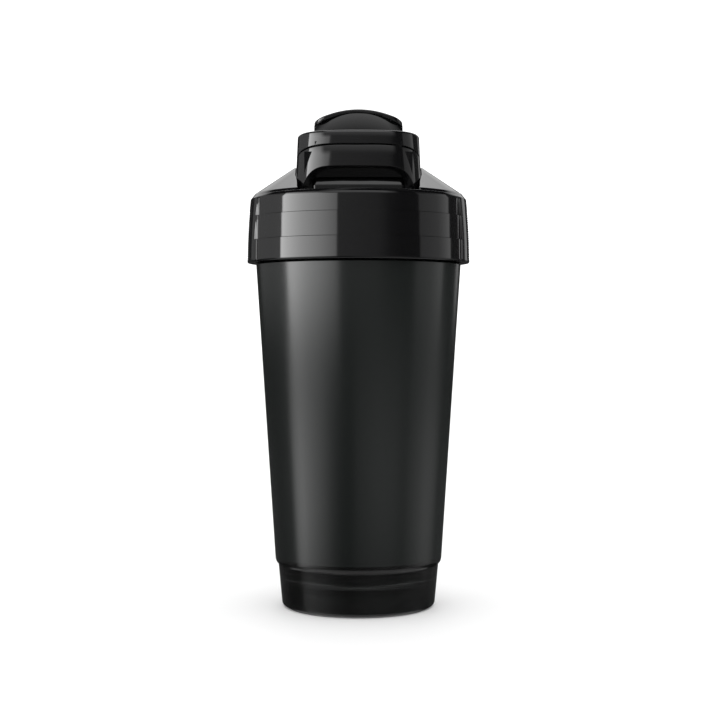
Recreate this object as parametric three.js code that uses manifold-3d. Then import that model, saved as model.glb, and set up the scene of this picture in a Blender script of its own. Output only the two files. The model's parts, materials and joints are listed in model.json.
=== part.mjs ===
// Protein shaker bottle: a tapered cup with a clear hollow foot, a screw lid with a drinking spout,
// a flip cap with a sealing plug, a carry loop that lies round the cap, and a mixing sieve.
// Millimetres, +Z up, origin at the middle of the foot ring, drinking side towards -Y.
import * as THREE from 'three';
import { mergeVertices } from 'three/addons/utils/BufferGeometryUtils.js';
import Module from 'manifold-3d';

const wasm = await Module();
wasm.setup();

// ---- Driving dimensions: cup ----
const footRadius = 34.3;        // outside of the foot where it turns under
const footTopRadius = 35.9;     // outside of the foot under the step
const footHeight = 19.2;        // top of the clear foot
const footWall = 3.2;
const footEdge = 2.0;           // rounding under the foot
const stepHeight = 3.4;         // rounded step from the foot out to the cup
const cupLowRadius = 37.3;      // outside of the cup above the step
const cupTopRadius = 45.7;      // outside of the cup under the lid
const cupWall = 2.0;
const bowlRadius = 21.0;        // flat middle of the cup's floor
const bowlGap = 2.6;            // floor's underside above the table
const bowlWall = 2.2;
const bowlJoin = 2.4;           // bowl meets the foot's wall this far under the step
const rimBevel = 0.6;

// ---- Driving dimensions: neck, thread and lid ----
const skirtBottom = 153.0;      // lower edge of the lid
const skirtHeight = 28.0;       // lower edge to the bevel at the foot of the shoulder
const lidRadius = 49.6;         // outside of the lid at its lower edge
const lidTopRadius = 48.1;      // outside of the lid under the bevel
const lowBand = 9.5;            // height of the lowest band
const middleBand = 10.4;
const bandStep = 0.45;          // each band stands in by this from the one below
const bandEase = 0.3;           // height of the step between two bands
const padHalfAngle = 22;        // smooth side pads, degrees either side of X
const neckInset = 1.7;          // neck stands in from the cup's outside
const neckHeight = 18.0;        // rim above the lid's lower edge
const boreGap = 0.3;            // lid bore outside the widest point of the cup
const threadLead = 12.0;
const threadStarts = 2;
const threadTurns = 0.8;
const threadRadius = 0.9;       // round ridge
const threadBite = 0.3;         // middle of a ridge outside the wall it stands on
const threadStart = 2.4;        // lowest ridge above the lid's lower edge
const channelGap = 0.6;         // shoulder to the sides of the cap
const gasketHeight = 1.6;
const edgeInset = 0.1;          // gasket inside the edges of the rim
const seatGap = 0.3;            // gap between pieces that touch
const plugWall = 2.0;           // ring under the lid that holds the sieve
const plugDrop = 7.0;
const plugGap = 1.6;            // ring to the inside of the neck
const roofWall = 2.6;           // shoulder, measured upright
const bevelRise = 2.3;
const bevelRun = 1.85;
const shoulderSlope = 0.675;    // rise for each millimetre inwards
const deckWall = 2.0;
const deckLift = 1.2;           // deck above the foot of the bevel

// ---- Driving dimensions: flip cap and carry loop ----
const capHalfWidth = 26.6;      // at the front
const capFlare = 0.034;         // sideways growth per millimetre towards the hinge
const capFront = 41.5;          // front of the cap ahead of the axis of the cup
const capCorner = 16.5;         // radius of the front corners in plan
const bowRadius = 70;           // the front bows out on this radius
const draft = 0.0016;           // upward narrowing, per millimetre
const seamLevel = 3.4;          // the seam runs level this far back, then drops
const loopOverSpout = 10.6;     // top of the loop above the spout's lip
const loopBarHeight = 6.0;      // front bar of the loop
const roofDrop = 3.4;           // cap's roof under the top of the loop
const capLift = 0.6;            // cap's walls above the deck
const loopBar = 3.6;            // thickness of the loop
const runGap = 0.4;             // clearance between moving walls
const capWall = 2.4;
const frontWall = 3.2;
const archInset = 4.8;          // finger notch inside the cap's side, at the front
const archHeight = 9.6;         // finger notch above the deck
const archCorner = 12.0;
const domeInset = 7.5;          // top plate inside the cap's side, at the front
const domeOverSpout = 20.4;     // crest of the top plate above the spout's lip
const domeRise = 4.9;           // how far the plate's sides lie below its crest
const domeSetback = 10.3;       // front edge of the top plate behind the cap's front
const plateThickness = 1.9;
const plateOverhang = 2.2;
const plateInset = 5.8;         // rounded corners of the plate inside the cap's plan
const domeLap = 1.5;            // dome runs this far down into the roof
const domeFace = 3.4;           // front wall of the dome
const domeEnd = 3.0;            // back wall of the dome, and its distance to the hinge eye
const plateShort = 12.0;        // plate ends this far before the dome does
const seamWall = 4.5;           // shelf under the loop, behind the cap's front

// ---- Driving dimensions: hinge, spout and small parts ----
const hingeBack = 34.0;         // hinge axis behind the middle
const hingeHeight = 9.0;        // hinge axis above the deck
const eyeRadius = 6.5;
const pinRadius = 1.6;
const pinGap = 0.25;
const pinInset = 0.6;           // ends of the pin inside the loop's sides
const towerWidth = 4.0;
const towerGap = 1.4;           // tower to the cap's side wall
const spoutSetback = 22.5;      // middle of the spout behind the cap's front
const spoutRadius = 10.8;
const spoutWall = 2.3;
const spoutHeight = 14.6;       // lip above the deck
const plinthInset = 7.2;        // raised base of the spout inside the cap's side
const plinthSetback = 7.5;      // and behind the cap's front
const plinthHeight = 5.6;
const plinthStep = 1.4;         // its upper half stands back by this
const plinthCorner = 3.0;
const plinthBow = 0.6;          // its front bows out by this
const plugDepth = 3.2;
const plugClearance = 0.6;
const sealFlange = 1.8;
const bossRadius = 7.0;
const curtainWall = 1.6;        // wall in the cap behind the finger notch
const curtainGap = 0.5;         // curtain to the raised base of the spout
const knobRadius = 3.0;         // knob of the seal, held in the boss
const knobHeight = 4.0;
const sieveThickness = 1.6;
const sieveCollar = 4.0;
const collarWall = 1.6;
const sieveHole = 3.0;
const sieveRings = 3;

// ---- Places that follow from the dimensions ----
const skirtTop = skirtBottom + skirtHeight;
const deck = skirtTop + deckLift;
const rim = skirtBottom + neckHeight;
const lidBore = cupTopRadius + boreGap;
const neckRadius = cupTopRadius - neckInset;
const neckBore = neckRadius - cupWall;
const sieveSeat = neckBore - plugGap - plugWall;
const gasketBottom = rim + seatGap;
const land = gasketBottom + gasketHeight + seatGap;
const hinge = { y: hingeBack, z: deck + hingeHeight };
const capFoot = deck + capLift;
const spoutLip = deck + spoutHeight;
const spoutForward = capFront - spoutSetback;
const loopHeight = spoutHeight + loopOverSpout;
const seamHeight = loopHeight - loopBarHeight;
const domeHeight = spoutHeight + domeOverSpout;
const domeFront = capFront - domeSetback;
const domeHalfWidth = capHalfWidth - domeInset;
const archHalfWidth = capHalfWidth - archInset;
const domeBack = hinge.y - eyeRadius - domeEnd;
const plateBack = domeBack - plateShort;
const aboveAll = deck + domeHeight + 20;
const belowDeck = deck - 5;
const curtainFront = -capFront + plinthSetback + 1;
const segments = 64;

// ---- Helpers ----
const point = (x, y) => new THREE.Vector2(x, y);

/** A closed geometry as a manifold solid: position only, shared vertices, no flat slivers. */
function solid(geometry) {
  geometry.deleteAttribute('normal');
  geometry.deleteAttribute('uv');
  const merged = mergeVertices(geometry, 1e-4);
  const index = merged.index.array;
  const kept = [];
  for (let i = 0; i < index.length; i += 3) {
    const [a, b, c] = [index[i], index[i + 1], index[i + 2]];
    if (a !== b && b !== c && c !== a) kept.push(a, b, c);
  }
  return new wasm.Manifold(new wasm.Mesh({
    numProp: 3,
    vertProperties: new Float32Array(merged.attributes.position.array),
    triVerts: new Uint32Array(kept),
  }));
}

/** A round body about Z from (radius, height) points, given upwards on the outside. */
function turned(points, sides = segments) {
  return solid(new THREE.LatheGeometry(points, sides).rotateX(Math.PI / 2));
}

/** A closed ring about Z from (radius, height) points, given upwards on the outside. */
function ring(points, sides = segments) {
  return turned([...points, points[0]], sides);
}

/** A plan outline pulled up between two heights, narrowed by the draft where asked. */
function upright(shape, low, high, narrowing = 0) {
  const geometry = new THREE.ExtrudeGeometry(shape, {
    depth: high - low, steps: 1, bevelEnabled: false, curveSegments: 5,
  }).translate(0, 0, low);
  const position = geometry.attributes.position;
  for (let i = 0; i < position.count; i += 1) {
    const scale = 1 - narrowing * (position.getZ(i) - deck);
    position.setX(i, position.getX(i) * scale);
    if (position.getY(i) < 0) position.setY(i, position.getY(i) * scale);
  }
  return solid(geometry);
}

/** A side view, drawn as (y, z) points or a shape, spread across x by halfWidth either side. */
function across(shape, halfWidth, steps = 1) {
  const geometry = new THREE.ExtrudeGeometry(shape, {
    depth: 2 * halfWidth, steps, bevelEnabled: false, curveSegments: 8,
  });
  // shape x, y and depth become y, z and x
  geometry.applyMatrix4(new THREE.Matrix4().set(
    0, 0, 1, -halfWidth,
    1, 0, 0, 0,
    0, 1, 0, 0,
    0, 0, 0, 1,
  ));
  return geometry;
}

/** A cylinder about Z. */
function post(radius, low, high, x = 0, y = 0, sides = 24) {
  const body = new THREE.CylinderGeometry(radius, radius, high - low, sides).rotateX(Math.PI / 2);
  return solid(body.translate(x, y, (low + high) / 2));
}

/** A cylinder about the hinge axis, or parallel to it. */
function crossRod(radius, from, to, sides = 24) {
  const body = new THREE.CylinderGeometry(radius, radius, to - from, sides).rotateZ(Math.PI / 2);
  return solid(body.translate((from + to) / 2, hinge.y, hinge.z));
}

/** A box from its lowest to its highest corner. */
function block(low, high) {
  const size = high.map((value, i) => value - low[i]);
  const middle = high.map((value, i) => (value + low[i]) / 2);
  return solid(new THREE.BoxGeometry(...size).translate(...middle));
}

/** The curve along a thread ridge. */
class ThreadLine extends THREE.Curve {
  constructor(radius, startHeight, startAngle) {
    super();
    Object.assign(this, { radius, startHeight, startAngle });
  }

  getPoint(t, target = new THREE.Vector3()) {
    const angle = this.startAngle + t * threadTurns * 2 * Math.PI;
    const height = this.startHeight + t * threadTurns * threadLead;
    return target.set(this.radius * Math.cos(angle), this.radius * Math.sin(angle), height);
  }
}

/** The ridges of one side of the thread, all starts. */
function threadRidges(radius, startHeight) {
  const section = new THREE.Shape().absarc(0, 0, threadRadius, 0, 2 * Math.PI);
  const ridges = [];
  for (let start = 0; start < threadStarts; start += 1) {
    const line = new ThreadLine(radius, startHeight, (start * 2 * Math.PI) / threadStarts);
    const geometry = new THREE.ExtrudeGeometry(section, {
      steps: 20, extrudePath: line, curveSegments: 4, bevelEnabled: false,
    });
    ridges.push(solid(geometry));
  }
  return ridges;
}

const part = new THREE.Group();
part.name = 'protein_shaker_bottle';

/** Adds one named piece. */
function addPiece(name, body, colour, roughness, metalness = 0, extra = {}) {
  const mesh = body.getMesh();
  const geometry = new THREE.BufferGeometry();
  geometry.setAttribute('position', new THREE.BufferAttribute(mesh.vertProperties, 3));
  geometry.setIndex(new THREE.BufferAttribute(mesh.triVerts, 1));
  geometry.computeVertexNormals();
  const material = new THREE.MeshStandardMaterial({ color: colour, roughness, metalness, ...extra });
  const piece = new THREE.Mesh(geometry, material);
  piece.name = name;
  part.add(piece);
}

// ---- Cup ----
function makeCup() {
  const stepTop = footHeight + stepHeight;
  const shoulder = skirtBottom - 0.5;
  const wallSlope = (cupTopRadius - cupLowRadius) / (shoulder - stepTop);
  const innerRadius = (height) => cupLowRadius + wallSlope * (height - stepTop) - cupWall;
  const floorTop = bowlGap + bowlWall;
  const footInside = footRadius - footWall;
  const joinHeight = footHeight - bowlJoin;
  const joinRadius = footTopRadius - footWall;
  const sideRise = joinRadius - bowlRadius;
  const bowlCurve = (share, base, top, reach) => point(
    bowlRadius + reach * Math.sin((share * Math.PI) / 2),
    base + (top - base) * (1 - Math.cos((share * Math.PI) / 2)),
  );
  const underside = [0.35, 0.65, 0.85].map((s) => bowlCurve(s, bowlGap, joinHeight, sideRise - 0.6));
  const inside = [1, 0.8, 0.6, 0.35].map(
    (s) => bowlCurve(s, floorTop, stepTop + 1.5, innerRadius(stepTop + 1.5) - bowlRadius),
  );
  const body = turned([
    point(0, bowlGap),
    point(bowlRadius, bowlGap),
    ...underside,
    point(joinRadius - 0.3, joinHeight),
    point(footInside, footEdge),
    point(footInside, 0),
    point(footRadius - footEdge, 0),
    point(footRadius - 0.3 * footEdge, 0.3 * footEdge),
    point(footRadius, footEdge),
    point(footTopRadius, footHeight),
    point((footTopRadius + cupLowRadius) / 2, footHeight + 0.9),
    point(cupLowRadius - 0.25, footHeight + 2.0),
    point(cupLowRadius, stepTop),
    point(cupTopRadius, shoulder),
    point(neckRadius, shoulder),
    point(neckRadius, rim - rimBevel),
    point(neckRadius - rimBevel, rim),
    point(neckBore, rim),
    point(neckBore, shoulder - 4),
    ...inside,
    point(bowlRadius, floorTop),
    point(0, floorTop),
  ]);
  const ridges = threadRidges(neckRadius + threadBite, skirtBottom + threadStart);
  return ridges.reduce((sum, ridge) => sum.add(ridge), body);
}
addPiece('cup', makeCup(), 0x2b2e2c, 0.5, 0, { transparent: true, opacity: 0.85 });

// ---- Plan outlines of the cap, shared by everything that follows it ----
const widthAt = (y) => capHalfWidth + capFlare * (y + capFront);

/** The cap's plan, pulled in by inset: two straight sides, two round corners and a bowed front. */
function capPlan(inset) {
  const slant = Math.atan(capFlare);
  const spread = bowRadius - capCorner;
  const reach = (capHalfWidth + capFlare * bowRadius) * Math.cos(slant) - capCorner;
  const frontTurn = Math.asin(reach / spread) - slant;
  const sideTurn = Math.PI / 2 - slant;
  const bowCentre = -capFront + bowRadius;
  const cornerX = spread * Math.sin(frontTurn);
  const cornerY = bowCentre - spread * Math.cos(frontTurn);
  const back = hinge.y + eyeRadius + 2;
  const ahead = -Math.PI / 2;
  const shape = new THREE.Shape();
  shape.moveTo(-widthAt(back) + inset, back);
  shape.lineTo(-widthAt(cornerY) + inset, cornerY);
  shape.absarc(-cornerX, cornerY, capCorner - inset, ahead - sideTurn, ahead - frontTurn);
  shape.absarc(0, bowCentre, bowRadius - inset, ahead - frontTurn, ahead + frontTurn);
  shape.absarc(cornerX, cornerY, capCorner - inset, ahead + frontTurn, ahead + sideTurn);
  shape.lineTo(widthAt(back) - inset, back);
  shape.closePath();
  return shape;
}

/** The channel in the lid that the cap and the loop lie in. */
function channelPlan(gap) {
  const reach = lidRadius + 10;
  return new THREE.Shape([
    point(-widthAt(-reach) - gap, -reach),
    point(widthAt(-reach) + gap, -reach),
    point(widthAt(reach) + gap, reach),
    point(-widthAt(reach) - gap, reach),
  ]);
}

/** Height of the loop's upper edge at y: level in front, falling to the hinge eye. */
const loopTopAt = (y) => {
  const share = THREE.MathUtils.clamp((y + capFront) / (hinge.y + capFront), 0, 1);
  const eyeTop = hinge.z + eyeRadius - deck;
  return deck + loopHeight - (loopHeight - eyeTop) * (share ** 1.7);
};

/** Height of the seam between the cap and the loop at y: it drops round the corner. */
const seamAt = (y) => {
  const start = -capFront + seamLevel;
  const share = THREE.MathUtils.clamp((y - start) / (hinge.y - start), 0, 1);
  const eyeBottom = hinge.z - eyeRadius - deck;
  return deck + seamHeight - (seamHeight - eyeBottom) * (share ** 0.75);
};

const stations = [-capFront - 3];
for (let i = 0; i <= 12; i += 1) {
  stations.push(-capFront + seamLevel + (i / 12) ** 1.3 * (hinge.y + capFront - seamLevel));
}

/** A side view bounded below and above by two height rules, ending in a round eye at the hinge. */
function sideBand(below, above, radius) {
  const shape = new THREE.Shape();
  shape.moveTo(stations[0], below(stations[0]));
  stations.slice(1, -1).forEach((y) => shape.lineTo(y, below(y)));
  shape.lineTo(hinge.y, hinge.z - radius);
  shape.absarc(hinge.y, hinge.z, radius, -Math.PI / 2, Math.PI / 2, false);
  stations.slice(1, -1).reverse().forEach((y) => shape.lineTo(y, above(y)));
  shape.lineTo(stations[0], above(stations[0]));
  shape.closePath();
  return solid(across(shape, lidRadius));
}

/** A side view bounded below and above by two height rules, cut off square at its back. */
function sideSpan(below, above, back) {
  const along = [...stations.filter((y) => y < back), back];
  const shape = new THREE.Shape([
    ...along.map((y) => point(y, below(y))),
    ...[...along].reverse().map((y) => point(y, above(y))),
  ]);
  return solid(across(shape, lidRadius));
}

// ---- Screw lid ----
/** The plan of the raised base of the spout, its front set back and its sides grown. */
function plinthPlan(setback, grow = 0) {
  const wide = capHalfWidth - plinthInset + grow;
  const front = -capFront + plinthSetback + setback;
  const shape = new THREE.Shape();
  shape.moveTo(-wide, 0);
  shape.lineTo(-wide, front + plinthBow + plinthCorner);
  shape.quadraticCurveTo(-wide, front + plinthBow, -wide + plinthCorner, front + plinthBow);
  shape.quadraticCurveTo(0, front - plinthBow, wide - plinthCorner, front + plinthBow);
  shape.quadraticCurveTo(wide, front + plinthBow, wide, front + plinthBow + plinthCorner);
  shape.lineTo(wide, 0);
  shape.closePath();
  return shape;
}

function makeScrewLid() {
  const bandTop = [skirtBottom + lowBand, skirtBottom + lowBand + middleBand];
  const bevelRadius = lidTopRadius - bevelRun;
  const shoulderAt = (radius) => skirtTop + bevelRise + shoulderSlope * (bevelRadius - radius);
  const shoulder = [point(bevelRadius, shoulderAt(bevelRadius)), point(0, shoulderAt(0))];
  const banded = turned([
    point(0, skirtBottom),
    point(lidRadius, skirtBottom),
    point(lidRadius - 0.1, bandTop[0]),
    point(lidRadius - bandStep, bandTop[0] + bandEase),
    point(lidRadius - bandStep - 0.15, bandTop[1]),
    point(lidRadius - 2 * bandStep, bandTop[1] + bandEase),
    point(lidTopRadius, skirtTop),
    ...shoulder,
  ]);
  const smooth = turned([
    point(0, skirtBottom),
    point(lidRadius, skirtBottom),
    point(lidRadius - 0.1, skirtBottom + skirtHeight * 0.35),
    point(lidRadius - 0.45, skirtBottom + skirtHeight * 0.6),
    point(lidRadius - 0.95, skirtBottom + skirtHeight * 0.85),
    point(lidTopRadius, skirtTop),
    ...shoulder,
  ]);
  const reach = lidRadius + 5;
  const spread = reach * Math.tan(THREE.MathUtils.degToRad(padHalfAngle));
  const padPlan = (side) => new THREE.Shape([
    point(0, 0), point(side * reach, -side * spread), point(side * reach, side * spread),
  ]);
  const pads = [1, -1].map((side) => upright(padPlan(side), skirtBottom - 1, skirtTop + 1));
  const outside = pads.reduce((sum, pad) => sum.add(smooth.intersect(pad)), banded);

  const hollow = turned([
    point(0, skirtBottom - 1),
    point(lidBore, skirtBottom - 1),
    point(lidBore, land),
    point(sieveSeat + plugWall / 2, land),
    point(sieveSeat + plugWall / 2, shoulderAt(sieveSeat + plugWall / 2) - roofWall),
    point(0, shoulderAt(0) - roofWall),
  ]);
  const liner = upright(channelPlan(channelGap + deckWall), deck - deckWall, aboveAll);
  const channel = upright(channelPlan(channelGap), deck, aboveAll);
  const plug = ring([
    point(sieveSeat, land - plugDrop),
    point(sieveSeat + plugWall, land - plugDrop),
    point(sieveSeat + plugWall, land + 0.5),
    point(sieveSeat, land + 0.5),
  ]);
  let lid = outside.subtract(hollow.subtract(liner)).subtract(channel).add(plug);

  // raised plinth with a step, and the spout on it
  const base = deck - deckWall / 2;
  lid = lid.add(upright(plinthPlan(0), base, deck + plinthHeight / 2));
  lid = lid.add(upright(plinthPlan(plinthStep), base, deck + plinthHeight));
  lid = lid.add(post(spoutRadius, base, spoutLip, 0, -spoutForward, 40));
  lid = lid.subtract(post(spoutRadius - spoutWall, skirtBottom, aboveAll, 0, -spoutForward, 40));

  // two hinge towers on the deck
  const towerPlan = new THREE.Shape();
  const foot = eyeRadius + 1;
  const crown = eyeRadius - 1;
  towerPlan.moveTo(hinge.y - foot, deck - 0.5);
  towerPlan.lineTo(hinge.y + foot, deck - 0.5);
  towerPlan.lineTo(hinge.y + crown, hinge.z);
  towerPlan.absarc(hinge.y, hinge.z, crown, 0, Math.PI, false);
  towerPlan.closePath();
  for (const side of [-1, 1]) {
    const geometry = across(towerPlan, towerWidth / 2).translate(side * towerMiddle(), 0, 0);
    lid = lid.add(solid(geometry));
  }
  lid = lid.subtract(crossRod(pinRadius + pinGap, -capHalfWidth, capHalfWidth));

  // the lid's half of the thread lies midway between the ridges of the cup
  const betweenRidges = threadLead / threadStarts / 2;
  const ridges = threadRidges(lidBore + threadBite, skirtBottom + threadStart + betweenRidges);
  return ridges.reduce((sum, ridge) => sum.add(ridge), lid);
}

/** The cap's side walls at the hinge, and the towers just inside them. */
const eyeOuter = () => widthAt(hinge.y) * (1 - draft * hingeHeight) - loopBar - runGap;
const eyeInner = () => eyeOuter() - capWall;
const towerMiddle = () => eyeInner() - towerGap - towerWidth / 2;
addPiece('screw_lid', makeScrewLid(), 0x0d0d0e, 0.12);

// ---- Gasket and mixing sieve under the lid ----
function makeGasket() {
  const outer = neckRadius - edgeInset;
  const inner = neckBore + edgeInset;
  return ring([
    point(inner, gasketBottom),
    point(outer, gasketBottom),
    point(outer, gasketBottom + gasketHeight),
    point(inner, gasketBottom + gasketHeight),
  ]);
}
addPiece('lid_gasket', makeGasket(), 0x2a2a2a, 0.8);

function makeSieve() {
  const radius = sieveSeat - seatGap;
  const low = land - plugDrop;
  let sieve = turned([
    point(0, low),
    point(radius, low),
    point(radius, low + sieveCollar),
    point(radius - collarWall, low + sieveCollar),
    point(radius - collarWall, low + sieveThickness),
    point(0, low + sieveThickness),
  ], 48);
  const pitch = (radius - 4) / (sieveRings + 0.3);
  for (let n = 1; n <= sieveRings; n += 1) {
    const count = 6 * n;
    for (let k = 0; k < count; k += 1) {
      const angle = (2 * Math.PI * (k + n / 2)) / count;
      const [x, y] = [n * pitch * Math.cos(angle), n * pitch * Math.sin(angle)];
      sieve = sieve.subtract(post(sieveHole, low - 1, low + sieveThickness + 1, x, y, 8));
    }
  }
  return sieve;
}
addPiece('mixing_sieve', makeSieve(), 0x1c1c1d, 0.45);

// ---- Flip cap ----
const roofAt = (y) => loopTopAt(y) - roofDrop;
const plateTop = deck + domeHeight;

/** The dome's upper line in side view: highest in front, falling in a curve to the hinge. */
const domeTopAt = (y) => {
  const share = THREE.MathUtils.clamp((y + domeFront) / (hinge.y - eyeRadius + domeFront), 0, 1);
  const drop = plateTop - (deck + hingeHeight + eyeRadius - 1);
  return plateTop - drop * (share ** 1.8);
};

/** Lowers the upper line of the dome towards its sides, so that the top is arched across. */
function arched(geometry) {
  const position = geometry.attributes.position;
  for (let i = 0; i < position.count; i += 1) {
    const [x, y, z] = [position.getX(i), position.getY(i), position.getZ(i)];
    const share = THREE.MathUtils.clamp((domeTopAt(y) - roofAt(y) - 3) / 8, 0, 1);
    if (z > roofAt(y) + 0.01) position.setZ(i, z - domeRise * share * (x / domeHalfWidth) ** 2);
  }
  return geometry;
}

/** A side view between two lines of the dome, spread across its width and arched. */
function domeBand(below, above, front, back, halfWidth) {
  const steps = 10;
  const along = Array.from({ length: steps + 1 }, (_, i) => front + (i / steps) * (back - front));
  const shape = new THREE.Shape([
    ...along.map((y) => point(y, below(y))),
    ...[...along].reverse().map((y) => point(y, above(y))),
  ]);
  return solid(arched(across(shape, halfWidth, 10)));
}

/** The barrel of the cap between the lid's towers, with the web that joins it to the roof. */
function makeKnuckle() {
  const barrel = eyeRadius - 1.2;
  const front = hinge.y - eyeRadius - 5;
  const shape = new THREE.Shape();
  shape.moveTo(front, roofAt(front) - capWall);
  shape.lineTo(hinge.y - barrel * 0.8, hinge.z - barrel * 0.6);
  shape.absarc(hinge.y, hinge.z, barrel, -2.5, Math.PI / 2, false);
  shape.lineTo(hinge.y - 4, roofAt(hinge.y - 4) - 0.2);
  shape.lineTo(front, roofAt(front) - 0.05);
  shape.closePath();
  return solid(across(shape, towerMiddle() - towerWidth / 2 - runGap));
}

function makeFlipCap() {
  const inner = loopBar + runGap;
  const lower = upright(capPlan(0), capFoot, aboveAll, draft)
    .intersect(sideSpan(() => capFoot, (y) => seamAt(y) - runGap, hinge.y - eyeRadius));
  const upper = upright(capPlan(inner), capFoot, aboveAll, draft)
    .intersect(sideBand(() => capFoot, roofAt, eyeRadius));
  const lowerRoom = upright(capPlan(frontWall), belowDeck, deck + seamHeight - seamWall, draft)
    .intersect(sideSpan(() => belowDeck, (y) => seamAt(y) - runGap - capWall, hinge.y));
  const upperRoom = upright(capPlan(inner + capWall), belowDeck, aboveAll, draft)
    .intersect(sideSpan(() => belowDeck, (y) => roofAt(y) - capWall, hinge.y));
  const rearRoom = block(
    [-eyeInner(), hinge.y - eyeRadius - 2, belowDeck],
    [eyeInner(), hinge.y + lidRadius, aboveAll],
  );
  const domeSkin = plateThickness + seatGap;
  const domeBody = domeBand(
    (y) => roofAt(y) - domeLap, (y) => Math.max(domeTopAt(y) - domeSkin, roofAt(y)),
    -domeFront + plateOverhang, domeBack, domeHalfWidth - 0.2,
  );
  const domeRoom = domeBand(
    (y) => roofAt(y) - capWall - 2 * domeLap,
    (y) => Math.max(domeTopAt(y) - domeSkin - capWall, roofAt(y) - capWall - domeLap),
    -domeFront + plateOverhang + domeFace, domeBack - domeEnd, domeHalfWidth - capWall,
  );
  let cap = lower.add(upper).add(domeBody).subtract(lowerRoom).subtract(upperRoom)
    .subtract(domeRoom).subtract(rearRoom);

  // curtain behind the finger notch, clear of the plinth
  const curtainBack = curtainFront + curtainWall;
  const underSeam = seamAt(curtainFront) - 2 * runGap;
  const plinthRoom = upright(
    plinthPlan(-curtainGap, curtainGap), belowDeck, deck + plinthHeight + curtainGap,
  );
  const curtain = (inset, top) => block([-lidRadius, curtainFront, capFoot], [lidRadius, curtainBack, top])
    .intersect(upright(capPlan(inset), capFoot, aboveAll, draft));
  cap = cap.add(curtain(1, underSeam).add(curtain(inner, deck + seamHeight)).subtract(plinthRoom));

  // boss over the spout that carries the sealing plug, and a knuckle between the towers
  const sealTop = spoutLip + seatGap + sealFlange;
  const domeFill = domeBand(
    () => deck + plinthHeight, (y) => domeTopAt(y) - domeSkin, -domeFront, domeBack, domeHalfWidth - 0.2,
  );
  const boss = post(bossRadius, sealTop + seatGap, aboveAll, 0, -spoutForward, 28);
  cap = cap.add(boss.intersect(domeFill)).add(makeKnuckle());
  const knobTop = sealTop + knobHeight + seatGap;
  cap = cap.subtract(post(knobRadius + seatGap, sealTop - 1, knobTop, 0, -spoutForward));

  // finger notch in the front wall
  const arch = new THREE.Shape();
  const [low, high] = [belowDeck, deck + archHeight];
  arch.moveTo(-archHalfWidth, low);
  arch.lineTo(-archHalfWidth, deck + 1);
  const [wide, flat, ease] = [archHalfWidth, archHalfWidth - archCorner, archHalfWidth - archCorner / 2];
  arch.bezierCurveTo(-wide + 1, high - 3, -ease, high, -flat, high);
  arch.lineTo(flat, high);
  arch.bezierCurveTo(ease, high, wide - 1, high - 3, wide, deck + 1);
  arch.lineTo(archHalfWidth, low);
  arch.closePath();
  const notch = new THREE.ExtrudeGeometry(arch, { depth: 16, bevelEnabled: false, curveSegments: 8 })
    .rotateX(Math.PI / 2)
    .translate(0, -capFront + 12, 0);
  cap = cap.subtract(solid(notch));
  return cap.subtract(crossRod(pinRadius + pinGap, -lidRadius, lidRadius));
}
addPiece('flip_cap', makeFlipCap(), 0x0d0d0e, 0.12);

// ---- Arched plate on the dome, with a front lip for the thumb ----
function makeTopPlate() {
  const under = (y) => domeTopAt(y) - plateThickness;
  const rounded = upright(capPlan(plateInset), belowDeck, aboveAll, draft);
  return domeBand(under, domeTopAt, -domeFront, plateBack, domeHalfWidth).intersect(rounded);
}
addPiece('cap_top_plate', makeTopPlate(), 0x0d0d0e, 0.15);

// ---- Sealing plug that closes the spout ----
function makeSpoutSeal() {
  const flange = spoutLip + seatGap;
  const plugRadius = spoutRadius - spoutWall - plugClearance;
  const body = turned([
    point(0, flange - plugDepth),
    point(plugRadius - 0.8, flange - plugDepth),
    point(plugRadius, flange - plugDepth + 0.8),
    point(plugRadius, flange),
    point(spoutRadius, flange),
    point(spoutRadius, flange + sealFlange),
    point(knobRadius, flange + sealFlange),
    point(knobRadius, flange + sealFlange + knobHeight),
    point(0, flange + sealFlange + knobHeight),
  ], 32);
  return body.translate([0, -spoutForward, 0]);
}
addPiece('spout_seal', makeSpoutSeal(), 0x303030, 0.8);

// ---- Carry loop that lies round the dome ----
function makeCarryLoop() {
  const band = upright(capPlan(0), capFoot, aboveAll, draft)
    .subtract(upright(capPlan(loopBar), belowDeck, aboveAll + 1, draft));
  const loop = band.intersect(sideBand(seamAt, loopTopAt, eyeRadius));
  const behind = block([-eyeOuter(), hinge.y - 1, belowDeck], [eyeOuter(), hinge.y + lidRadius, aboveAll]);
  return loop.subtract(behind).subtract(crossRod(pinRadius + pinGap, -lidRadius, lidRadius));
}
addPiece('carry_loop', makeCarryLoop(), 0x0d0d0e, 0.12);

// ---- Hinge pin through the towers, the cap's walls and the loop's arms ----
function makeHingePin() {
  const half = widthAt(hinge.y) * (1 - draft * hingeHeight) - pinInset;
  return crossRod(pinRadius, -half, half);
}
addPiece('hinge_pin', makeHingePin(), 0x9a9a9c, 0.3, 1);

export default part;
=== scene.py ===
"""The looks of a protein shaker bottle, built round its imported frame.

Smoke cup with a frosted wall and a polished, hollow foot; gloss black screw lid, flip cap and
carry loop; soft seals, a sieve and a steel hinge pin. Lengths are in millimetres until a mesh
is made, and every place comes from the frame's own boxes and joints.
"""
import json
import math

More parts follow.
